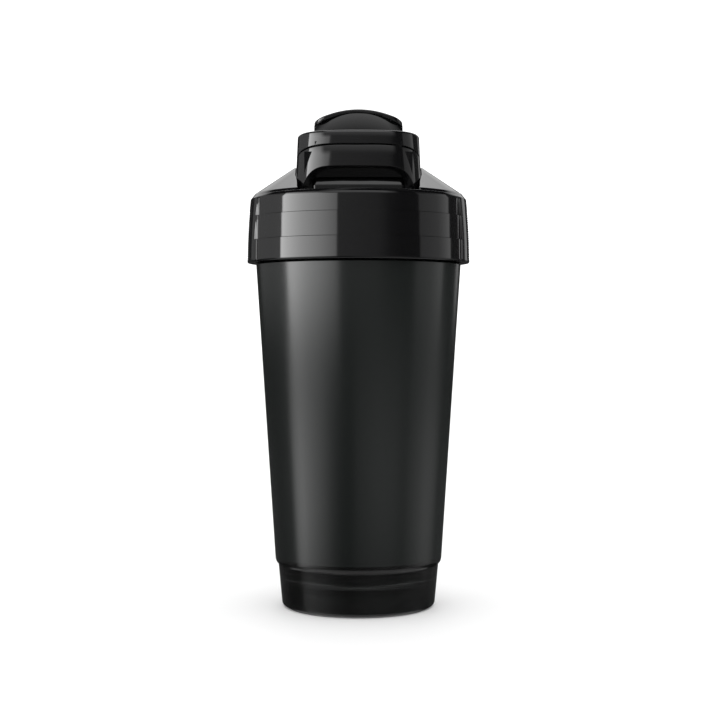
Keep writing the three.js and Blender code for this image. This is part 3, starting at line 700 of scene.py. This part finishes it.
# ---------------------------------------------------------------- outline shared by cap and loop
def plan_line(back):
    """The cap's plan from the right side's back, round the front, to the left side's back."""
    slant = math.atan(CAP_FLARE)
    spread = CAP_BOW - CAP_CORNER
    reach = (CAP_HALF_WIDTH + CAP_FLARE * CAP_BOW) * math.cos(slant) - CAP_CORNER
    front_turn = math.asin(reach / spread) - slant
    bow_centre = CAP_BOW - CAP_FRONT
    corner_x, corner_y = spread * math.sin(front_turn), bow_centre - spread * math.cos(front_turn)
    bow = np.array([(CAP_BOW * math.sin(t), bow_centre - CAP_BOW * math.cos(t))
                    for t in np.linspace(0, front_turn, 22)])
    corner = np.array([(corner_x + CAP_CORNER * math.sin(t), corner_y - CAP_CORNER * math.cos(t))
                       for t in np.linspace(front_turn, math.pi / 2 - slant, 40)])
    share = (1 - np.cos(np.linspace(0, math.pi, 64))) / 2
    side = np.array([(half_width(y), y) for y in corner[-1, 1] + share * (back - corner[-1, 1])])
    half = np.concatenate([bow, corner[1:], side[1:]])[::-1]
    return np.concatenate([half, half[:-1][::-1] * np.array([-1, 1])])


def outward(line):
    """Unit normals of a plan line, pointing away from the cap."""
    ahead = np.gradient(line, axis=0)
    normal = np.stack([-ahead[:, 1], ahead[:, 0]], 1)
    normal /= np.linalg.norm(normal, axis=1)[:, None]
    middle = len(line) // 2
    return normal if normal[middle, 1] < 0 else -normal


def drafted(x, y, z):
    """Narrows a plan point with height."""
    scale = 1 - DRAFT * (z - DECK)
    return x * scale, y * scale if y < 0 else y


def upright_band(name, back, thickness, lows, highs, ease, ease_low=None):
    """A wall that follows the plan line; lows and highs give its edges at (x, y, depth share)."""
    line = plan_line(back)
    normals = outward(line)
    rows = []
    for (x, y), (nx, ny) in zip(line, normals):
        inner_x, inner_y = x - nx * thickness, y - ny * thickness
        corners = [(0.0, lows(x, y, 0.0)), (0.0, highs(x, y, 0.0)),
                   (thickness, highs(inner_x, inner_y, 1.0)), (thickness, lows(inner_x, inner_y, 1.0))]
        tall = max(min(corners[1][1] - corners[0][1], corners[2][1] - corners[3][1]), 0.05)
        top_ease = min(ease, 0.42 * tall)
        bottom_ease = min(ease if ease_low is None else ease_low, 0.42 * tall)
        eased = [bottom_ease, top_ease, top_ease, bottom_ease]
        looped = [((corners[0][0] + corners[3][0]) / 2, (corners[0][1] + corners[3][1]) / 2, 0)]
        looped += [(c[0], c[1], e) for c, e in zip(corners, eased)]
        looped += [looped[0]]
        section = rounded(looped, 6)[:-1]
        row = [(*drafted(x - nx * s, y - ny * s, z), z) for s, z in section]
        rows.append(row)
    points, faces = grid(rows, wrap_columns=True, cap_ends=True)
    return put_together(name, points, faces)


def loop_top(y):
    """Upper edge of the carry loop: a long fall, then round the hinge eye."""
    share = np.clip((y + CAP_FRONT) / (HINGE_Y + CAP_FRONT), 0, 1)
    crown = LOOP_HIGH[2] - DECK
    plain = DECK + crown - (crown - (HINGE_RISE + EYE_RADIUS)) * share ** 1.7
    if y <= HINGE_Y:
        return plain
    return HINGE_Z + math.sqrt(max(EYE_RADIUS ** 2 - (y - HINGE_Y) ** 2, 1e-6))


def seam(y):
    """The line between the cap and the loop: level in front, falling evenly to the hinge eye."""
    if y > HINGE_Y:
        return HINGE_Z - math.sqrt(max(EYE_RADIUS ** 2 - (y - HINGE_Y) ** 2, 1e-6))
    fall, front_lift = 0.208, 1.4
    front_end, side_start = -CAP_FRONT + 4.5, -CAP_FRONT + 17.5
    lift = front_lift * (1 - smoothstep(y, front_end, side_start))
    return HINGE_Z - EYE_RADIUS + fall * (HINGE_Y - y) + lift


def seam_dip(x):
    """The seam sags a little in the middle of the front."""
    return -0.25 * math.exp(-(x / 7.0) ** 2)


# ---------------------------------------------------------------- carry loop
def make_carry_loop():
    """Band round the dome, with arms that run back to the hinge."""
    def low(x, y, depth):
        return seam(y) + (seam_dip(x) if y < -30 else 0.0)

    def high(x, y, depth):
        return loop_top(y)

    loop = upright_band("carry_loop_band", HINGE_Y + EYE_RADIUS - 0.02, LOOP_BAR, low, high, 1.0, 0.22)
    return dress(loop, "loop", "gloss_black", BLACK, replaces=("carry_loop",))


make_carry_loop()


# ---------------------------------------------------------------- flip cap
def notch_edge(x, half, top):
    """Lower edge of the cap's front: a wide flat arch with quickly falling legs."""
    share = min(abs(x) / half, 1.0)
    return CAP_FOOT + (DECK + top - CAP_FOOT) * (1 - share ** 7) ** 0.8


def make_cap_wall():
    """The flip cap's outer wall below the loop, with the finger notch in front."""
    def low(x, y, depth):
        if y > -26:
            return CAP_FOOT
        half = 24.1 - 3.6 * depth
        return notch_edge(x, half, 9.95 - 0.85 * depth)

    def high(x, y, depth):
        dip = seam_dip(x) if y < -30 else 0.0
        return max(seam(y) - SEAM_GAP + dip, CAP_FOOT + 0.4)

    wall = upright_band("cap_wall", HINGE_Y - EYE_RADIUS, 3.2, low, high, 0.22, 0.3)
    return dress(wall, "cap", "gloss_black", BLACK, replaces=("flip_cap",))


def make_cap_curtain():
    """Wall inside the cap behind the finger notch; it stands clear of the spout's raised base."""
    front, wall, clear, lean = PLINTH_FRONT + 1.0, 1.6, 0.2, 0.22
    inner = LOOP_BAR + RUN_GAP
    wide, narrow = CAP_HALF_WIDTH - 3.7, CAP_HALF_WIDTH - 8.2
    under_seam, top = seam(front) - 2 * RUN_GAP - 0.4, roof(front) - 1.0
    step = PLINTH_HALF_WIDTH + clear
    right = [(step, PLINTH_TOP + clear), (step, CAP_FOOT), (wide, CAP_FOOT), (wide, under_seam),
             (narrow, under_seam), (narrow, top)]
    outline = [*right, *((-x, z) for x, z in reversed(right))]
    rows = [[(x, y - lean * (z - CAP_FOOT), z) for x, z in outline] for y in (front, front + wall)]
    points, faces = grid(rows, wrap_columns=True, cap_ends=True)
    return dress(put_together("cap_curtain", points, faces, 30.0), "cap", "gloss_black", BLACK)


def roof(y):
    """Top of the cap inside the loop."""
    return loop_top(min(y, HINGE_Y)) - 3.4


def make_cap_core():
    """Roof and inner walls of the cap, inside the loop: a shell, open underneath."""
    inset, wall = LOOP_BAR + RUN_GAP, 2.4
    front = -CAP_FRONT + inset
    back = HINGE_Y - EYE_RADIUS - 2.0
    corner = CAP_CORNER - inset

    def wide(y, more=0.0):
        """Half-width at y, narrowing round the front corners."""
        from_front = np.clip((y - front - more) / corner, 0, 1)
        return half_width(y, inset + more) - corner * (1 - math.sqrt(1 - (1 - from_front) ** 2))

    foot = DECK + 12.0

    def section(y, more):
        top, half = roof(y) - more, wide(y, more)
        side_foot = min(foot, seam(y) - 2.0)
        ease = 0.9 if more == 0 else 0.4
        path = rounded([(-half, side_foot, 0), (-half, top, ease),
                        (half, top, ease), (half, side_foot, 0)], 6)
        middle = len(path) // 2
        flat = np.linspace(path[middle - 1], path[middle], 14)[1:-1]
        path = np.concatenate([path[:middle], flat, path[middle:]])
        return [(*drafted(x, y, z), z) for x, z in path]

    stations = front + (back - front) * np.linspace(0, 1, 60) ** 1.5
    outer = [section(y, 0.0) for y in stations]
    inner = [section(max(y, front + wall), wall) for y in stations]
    rows = [[*o, *reversed(i)] for o, i in zip(outer, inner)]
    points, faces = grid(rows, wrap_columns=True, cap_ends=True)
    return dress(put_together("cap_roof", points, faces), "cap", "gloss_black", BLACK)


def dome_top(y):
    """Upper line of the top plate in side view."""
    share = np.clip((y - PLATE_FRONT) / (HINGE_Y - EYE_RADIUS - PLATE_FRONT), 0, 1)
    return PLATE_TOP - (PLATE_TOP - DECK - HINGE_RISE - EYE_RADIUS + 1.0) * share ** 1.8


def arch_drop(x, y):
    """How far the dome lies below its crest at x."""
    share = np.clip((dome_top(y) - roof(y) - 3) / 8, 0, 1)
    return 4.9 * share * (x / PLATE_HALF_WIDTH) ** 2


def make_cap_dome():
    """The dome between the loop's arms; its front is a smooth lens under the plate's lip."""
    skin = 1.75
    half = PLATE_HALF_WIDTH - 0.2
    front, back = PLATE_FRONT - 1.0, HINGE_Y - EYE_RADIUS - 3.0
    lens_depth, lens_sag = 1.35, 2.7
    x_stations = half * np.sin(np.linspace(-math.pi / 2, math.pi / 2, 49))

    def crest(x, y):
        return max(dome_top(y) - skin - arch_drop(x, y), roof(y) - 0.3)

    base = roof(front) - 1.5
    rows = []
    for share in np.linspace(0, 1, 26):
        row = []
        for x in x_stations:
            foot = front + lens_sag * (x / half) ** 2
            top = crest(x, foot + lens_depth)
            row.append((x, foot + lens_depth * share ** 2, base + (top - base) * share))
        rows.append(row)
    lip = rows[-1]
    for share in np.linspace(0, 1, 40)[1:]:
        row = [(x, y + share * (back - y)) for x, y, _ in lip]
        rows.append([(x, y, crest(x, y)) for x, y in row])
    floor = [[(x, y, min(z, roof(y) - 1.6)) for x, y, z in row] for row in (rows[0], rows[-1])]
    points, faces = grid([floor[0], *rows, floor[1]])
    piece = put_together("cap_dome", points, faces)
    build = bmesh.new()
    build.from_mesh(piece.data)
    border = [e for e in build.edges if e.is_boundary]
    pulled = bmesh.ops.extrude_edge_only(build, edges=border)["geom"]
    for vert in (g for g in pulled if isinstance(g, bmesh.types.BMVert)):
        vert.co.z = min(vert.co.z, (roof(vert.co.y / MM) - 1.7) * MM)
    bmesh.ops.holes_fill(build, edges=[e for e in build.edges if e.is_boundary], sides=0)
    bmesh.ops.recalc_face_normals(build, faces=build.faces)
    # points and faces in the same order on every run
    build.verts.sort(key=lambda v: v.co.z * 1e6 + v.co.y * 1e3 + v.co.x)
    build.faces.sort(key=lambda f: f.calc_center_median().dot((1.0, 1e3, 1e6)))
    build.to_mesh(piece.data)
    build.free()
    piece.data.set_sharp_from_angle(angle=math.radians(38))
    return dress(piece, "cap", "gloss_black", BLACK)


def make_top_plate():
    """Arched plate with a thumb lip in front; its rim is thicker towards the corners."""
    back = PLATE_HIGH[1]
    corner = 5.0
    rows = []
    for y in PLATE_FRONT + (back - PLATE_FRONT) * (1 - np.cos(np.linspace(0, math.pi, 60))) / 2:
        end = min(y - PLATE_FRONT, back - y)
        short = max(corner - (y - PLATE_FRONT), 0.0)
        half = PLATE_HALF_WIDTH - 0.25 - corner + math.sqrt(corner ** 2 - short ** 2)
        soften = 0.5 - math.sqrt(max(0.25 - (0.5 - min(end, 0.5)) ** 2, 0.0))
        top = []
        under = []
        for x in half * np.sin(np.linspace(-math.pi / 2, math.pi / 2, 45)):
            edge = half - abs(x)
            side_soften = 0.5 - math.sqrt(max(0.25 - (0.5 - min(edge, 0.5)) ** 2, 0.0))
            drop = min(soften + side_soften, 0.7)
            z = dome_top(y) - arch_drop(x, y)
            thickness = 1.6 + 0.5 * (x / half) ** 2
            top.append((x, y, z - drop))
            under.append((x, y, z - thickness + min(drop, 0.45) * 0.5))
        rows.append([*top, *reversed(under)])
    points, faces = grid(rows, wrap_columns=True, cap_ends=True)
    plate = put_together("dome_plate", points, faces)
    return dress(plate, "cap", "gloss_black", BLACK, replaces=("cap_top_plate",))


def make_cap_hinge():
    """Ears of the cap outside the towers and the barrel between them."""
    ear = [(HINGE_Y - EYE_RADIUS - 12, roof(HINGE_Y - EYE_RADIUS - 12) - 4.5),
           *arc((HINGE_Y, HINGE_Z), EYE_RADIUS - 0.3, -120, 90),
           (HINGE_Y - EYE_RADIUS - 12, roof(HINGE_Y - EYE_RADIUS - 12) - 0.3)]
    for side, name in ((-1, "cap_ear_left"), (1, "cap_ear_right")):
        ends = sorted((side * (EYE_OUTER - 0.1), side * (EYE_OUTER - 2.5)))
        dress(slab(name, ear, ends[0], ends[1], 0, 0.5), "cap", "gloss_black", BLACK)
    barrel = EYE_RADIUS - 1.2
    front = HINGE_Y - EYE_RADIUS - 5
    web = [(front, roof(front) - 2.4), *arc((HINGE_Y, HINGE_Z), barrel, -143, 90, 40),
           (HINGE_Y - 4, roof(HINGE_Y - 4) - 0.3), (front, roof(front) - 0.15)]
    reach = TOWER_INNER - RUN_GAP
    dress(slab("cap_knuckle", web, -reach, reach, 0, 0.6), "cap", "gloss_black", BLACK)


def make_seal_boss():
    """Round boss inside the cap that carries the sealing plug."""
    low, high = SEAL_SEAT + FLANGE + 0.3, roof(SPOUT_Y) - 1.0
    profile = rounded([(0, low, 0), (7.0, low, 0.6), (7.0, high, 0.4), (0, high, 0)])
    dress(turned_piece("seal_boss", profile, 96, (0, SPOUT_Y)), "cap", "gloss_black", BLACK)


make_cap_wall()
make_cap_curtain()
make_cap_core()
make_cap_dome()
make_top_plate()
make_cap_hinge()
make_seal_boss()


# ---------------------------------------------------------------- seals, sieve and pin
def make_spout_seal():
    """Soft plug with a sealing bead, under a flange that closes on the spout's lip."""
    low, flange = SEAL_LOW[2], SEAL_SEAT
    plug = SPOUT_RADIUS - SPOUT_WALL - 0.6
    profile = rounded([
        (0, low + 0.8, 0), (plug - 2.2, low + 0.8, 0.5), (plug - 1.4, low, 0.4), (plug - 0.5, low, 0.4),
        (plug - 0.3, low + 1.0, 0.3), (plug, low + 1.5, 0.3), (plug - 0.3, low + 2.0, 0.3),
        (plug - 0.2, flange, 0.3), (SPOUT_RADIUS, flange, 0.4), (SPOUT_RADIUS, flange + FLANGE, 0.6),
        (7.4, flange + FLANGE, 0.2), (3.0, flange + FLANGE, 0.2),
        (3.0, SEAL_HIGH[2] - 0.2, 0.4), (0, SEAL_HIGH[2] - 0.2, 0)])
    seal = turned_piece("spout_plug", profile, 128, (0, SPOUT_Y))
    return dress(seal, "cap", "soft_seal", SEAL, replaces=("spout_seal",))


def make_gasket():
    """Ring of soft rubber with two fine sealing lips."""
    inner, outer = GASKET_HIGH[0] - 1.8, GASKET_HIGH[0] - 0.02
    low, high = GASKET_LOW[2], GASKET_HIGH[2]
    profile = rounded([
        (inner, low + 0.2, 0), (inner + 0.4, low, 0.15), (inner + 0.9, low + 0.25, 0.2),
        (outer - 0.4, low, 0.15), (outer, low + 0.4, 0.3),
        (outer, high - 0.3, 0.3), (outer - 0.4, high, 0.15),
        (inner + 0.9, high - 0.25, 0.2), (inner + 0.4, high, 0.15), (inner, high - 0.2, 0)])
    ring = turned_piece("rim_gasket", profile, 192, closed=True)
    return dress(ring, "lid_insert", "soft_seal", SEAL, replaces=("lid_gasket",))


def make_sieve():
    """Disc with three rings of round holes inside a snap-in collar."""
    radius, low = SIEVE_HIGH[0], SIEVE_LOW[2]
    thickness, collar, hole = 1.6, SIEVE_HIGH[2] - SIEVE_LOW[2], 3.0
    profile = rounded([
        (0, low, 0), (radius - 0.1, low, 0.4), (radius - 0.1, low + collar - 1.0, 0.2),
        (radius, low + collar - 0.7, 0.2),
        (radius - 0.2, low + collar, 0.3), (radius - 1.6, low + collar, 0.4),
        (radius - 1.6, low + thickness, 0.5), (0, low + thickness, 0)])
    sieve = turned_piece("mixing_disc", profile, 128)
    pitch = (radius - 4) / 3.3
    parts = []
    for n in (1, 2, 3):
        for k in range(6 * n):
            angle = 2 * math.pi * (k + n / 2) / (6 * n)
            centre = (n * pitch * math.cos(angle), n * pitch * math.sin(angle))
            core = [(0, low - 1), (hole, low - 1), (hole, low + thickness + 1), (0, low + thickness + 1)]
            parts.append(grid(turned(core, 32, centre), wrap_columns=True))
    cutter = join_parts("sieve_hole_cutter", parts)
    cut = sieve.modifiers.new("holes", "BOOLEAN")
    cut.operation, cut.object, cut.solver = "DIFFERENCE", cutter, "EXACT"
    evaluated = sieve.evaluated_get(bpy.context.evaluated_depsgraph_get())
    pierced = bpy.data.meshes.new_from_object(evaluated)
    sieve.modifiers.clear()
    sieve.data = pierced
    sieve.data.set_sharp_from_angle(angle=math.radians(38))
    bpy.data.objects.remove(cutter)
    return dress(sieve, "lid_insert", "matte_black", MATTE, replaces=("mixing_sieve",))


def make_hinge_pin():
    """Steel rod across the hinge, its ends turned to a shallow dome."""
    half = PIN_HIGH[0] + 0.75
    radius = PIN_HIGH[2] - HINGE_Z
    profile = rounded([(0, -half, 0), (radius - 0.5, -half, 0.3), (radius, -half + 0.5, 0.2),
                       (radius, half - 0.5, 0.2), (radius - 0.5, half, 0.3), (0, half, 0)])
    rows = turned(profile, 64)
    rows = np.stack([rows[:, :, 2], rows[:, :, 0] + HINGE_Y, rows[:, :, 1] + HINGE_Z], 2)
    points, faces = grid(rows, wrap_columns=True)
    return dress(put_together("hinge_rod", points, faces), "lid", "pin_steel", STEEL, replaces=("hinge_pin",))


make_spout_seal()
make_gasket()
make_sieve()
make_hinge_pin()


# ---------------------------------------------------------------- studio
def make_floor():
    """A wide pale table that the bottle stands on."""
    reach = 6000.0
    points, faces = grid([[(-reach, -reach, 0), (reach, -reach, 0)], [(-reach, reach, 0), (reach, reach, 0)]])
    floor = put_together("pale_floor", points, faces)
    material, tree, shader = new_material("pale_floor_paint", Roughness=0.6, Specular_IOR_Level=0.2)
    grain = place_group(tree, GRAIN)
    mixed_colour(tree, shader, grain.outputs["Cloud"], (0.93, 0.93, 0.93), (0.95, 0.95, 0.95))
    # mirrored in the bottle, the table gives way to the lower half of the studio
    clear = tree.nodes.new("ShaderNodeBsdfTransparent")
    path, choose = tree.nodes.new("ShaderNodeLightPath"), tree.nodes.new("ShaderNodeMixShader")
    tree.links.new(path.outputs["Is Glossy Ray"], choose.inputs["Fac"])
    tree.links.new(shader.outputs["BSDF"], choose.inputs[1])
    tree.links.new(clear.outputs["BSDF"], choose.inputs[2])
    tree.links.new(choose.outputs["Shader"], tree.nodes["Material Output"].inputs["Surface"])
    floor.data.materials.append(material)


def level_ramp(tree, place, stops, low, high, brightest):
    """Grey levels along a line: stops are (place, brightness), between low and high."""
    ramp = tree.nodes.new("ShaderNodeValToRGB")
    ramp.color_ramp.interpolation = "LINEAR"
    elements = ramp.color_ramp.elements
    while len(elements) > 1:
        elements.remove(elements[-1])
    for i, (value, level) in enumerate(stops):
        share = (value - low) / (high - low)
        element = elements[0] if i == 0 else elements.new(share)
        element.position = share
        element.color = (level / brightest,) * 3 + (1,)
    tree.links.new(remap(tree, place, low, high, 0.0, 1.0), ramp.inputs["Fac"])
    return ramp.outputs["Color"]


def blend(tree, kind, factor, first, second):
    """Mixes two colours by a mask."""
    mix = tree.nodes.new("ShaderNodeMix")
    mix.data_type, mix.blend_type = "RGBA", kind
    for socket, value in (("Factor", factor), ("A", first), ("B", second)):
        if isinstance(value, (int, float)):
            mix.inputs[socket].default_value = value
        else:
            tree.links.new(value, mix.inputs[socket])
    return mix.outputs["Result"]


# brightness round the bottle, by degrees from the front towards the right
ROUND_THE_LID = [
    (-180, 0.03), (-146, 0.03), (-144.5, 0.22), (-138, 0.22), (-136.5, 0.30), (-122, 0.42), (-98, 0.74),
    (-87, 0.95), (-85.5, 9.5), (-60, 6.0), (-22.6, 2.2), (-21.0, 0.38), (20, 0.26), (33, 0.09), (45, 0.04),
    (64.5, 0.05), (66.5, 0.50), (90, 0.62), (108, 1.1), (110, 0.06), (142, 0.06), (144, 0.6),
    (152, 0.6), (154, 0.03), (180, 0.03)]
ROUND_THE_CUP = [
    (-180, 0.05), (-150, 0.06), (-120, 0.08), (-96, 0.2), (-87, 2.2), (-78, 2.9), (-60, 1.9), (-45, 1.1),
    (-34, 0.45), (-24, 0.15), (-10, 0.08), (0, 0.35), (25, 0.55), (45, 0.5), (60, 0.28), (75, 0.55),
    (95, 0.8), (108, 0.6), (125, 0.12), (150, 0.06), (180, 0.05)]
# brightness up the back and up the front, by the sine of the elevation
UP_THE_BACK = [
    (-1.0, 0.03), (0.19, 0.03), (0.26, 0.8), (0.45, 0.95), (0.62, 1.6), (0.77, 2.6), (0.9, 3.0), (1.0, 3.0)]
UP_THE_FRONT = [(-1.0, 0.3), (0.28, 0.3), (0.45, 1.2), (0.70, 3.0), (0.84, 2.4), (0.92, 0.05), (1.0, 0.05)]


def make_studio_light():
    """Even white light on everything, and in the reflections a studio: a tall soft box on the
    left, dark screens in front and low behind, a lit sweep over the back and a lamp panel
    above the camera."""
    world = bpy.data.worlds.new("white_studio")
    bpy.context.scene.world = world
    world.use_nodes = True
    tree = world.node_tree
    nodes, links = tree.nodes, tree.links
    nodes.clear()
    brightest = 10.0
    direction = nodes.new("ShaderNodeTexCoord")
    split = nodes.new("ShaderNodeSeparateXYZ")
    links.new(direction.outputs["Generated"], split.inputs["Vector"])
    height = split.outputs["Z"]
    forward = combine(tree, "MULTIPLY", split.outputs["Y"], -1.0)
    turn = combine(tree, "MULTIPLY", combine(tree, "ARCTAN2", split.outputs["X"], forward), math.degrees(1))
    aside = combine(tree, "ABSOLUTE", turn, 0.0)
    upper = level_ramp(tree, turn, ROUND_THE_LID, -180, 180, brightest)
    lower = level_ramp(tree, turn, ROUND_THE_CUP, -180, 180, brightest)
    back = level_ramp(tree, height, UP_THE_BACK, -1, 1, brightest)
    front = level_ramp(tree, height, UP_THE_FRONT, -1, 1, brightest)
    over = remap(tree, height, 0.30, 0.50, 1.0, 0.05)
    walls = blend(tree, "MULTIPLY", 1.0, upper, over)
    behind = combine(tree, "MULTIPLY", remap(tree, aside, 140, 150, 0.0, 1.0),
                     remap(tree, height, 0.17, 0.22, 0.0, 1.0))
    ahead = combine(tree, "MULTIPLY", remap(tree, aside, 30, 45, 1.0, 0.0),
                    remap(tree, height, 0.28, 0.34, 0.0, 1.0))
    studio = blend(tree, "MIX", ahead, blend(tree, "MIX", behind, walls, back), front)
    near_level = remap(tree, height, -0.13, -0.06, 1.0, 0.5)
    near_foot = remap(tree, height, -0.33, -0.23, 0.12, 1.0)
    table = remap(tree, height, -0.62, -0.50, 0.5 / brightest, 0.0)
    lower = blend(tree, "MULTIPLY", 1.0, lower, combine(tree, "MULTIPLY", near_level, near_foot))
    studio = blend(tree, "MIX", remap(tree, height, -0.01, 0.05, 1.0, 0.0), studio, lower)
    studio = blend(tree, "ADD", 1.0, studio, table)
    mirrored = nodes.new("ShaderNodeBackground")
    mirrored.inputs["Strength"].default_value = brightest
    links.new(studio, mirrored.inputs["Color"])
    even = nodes.new("ShaderNodeBackground")
    even.inputs["Color"].default_value = (1, 1, 1, 1)
    even.inputs["Strength"].default_value = 1.35
    path = nodes.new("ShaderNodeLightPath")
    choose = nodes.new("ShaderNodeMixShader")
    links.new(path.outputs["Is Glossy Ray"], choose.inputs["Fac"])
    links.new(even.outputs["Background"], choose.inputs[1])
    links.new(mirrored.outputs["Background"], choose.inputs[2])
    output = nodes.new("ShaderNodeOutputWorld")
    links.new(choose.outputs["Shader"], output.inputs["Surface"])


def make_camera():
    """Seen from the front, a little over half the bottle's height."""
    data = bpy.data.cameras.new("front_camera")
    data.lens, data.sensor_width = 71.2, 36.0
    camera = bpy.data.objects.new("front_camera", data)
    camera.location = (0.0, -0.639, 0.123)
    camera.rotation_euler = (math.radians(90 - 1.186), 0, -0.0011)
    bpy.context.scene.collection.objects.link(camera)
    bpy.context.scene.camera = camera


make_floor()
make_studio_light()
make_camera()
bpy.context.scene.view_settings.view_transform = "Standard"
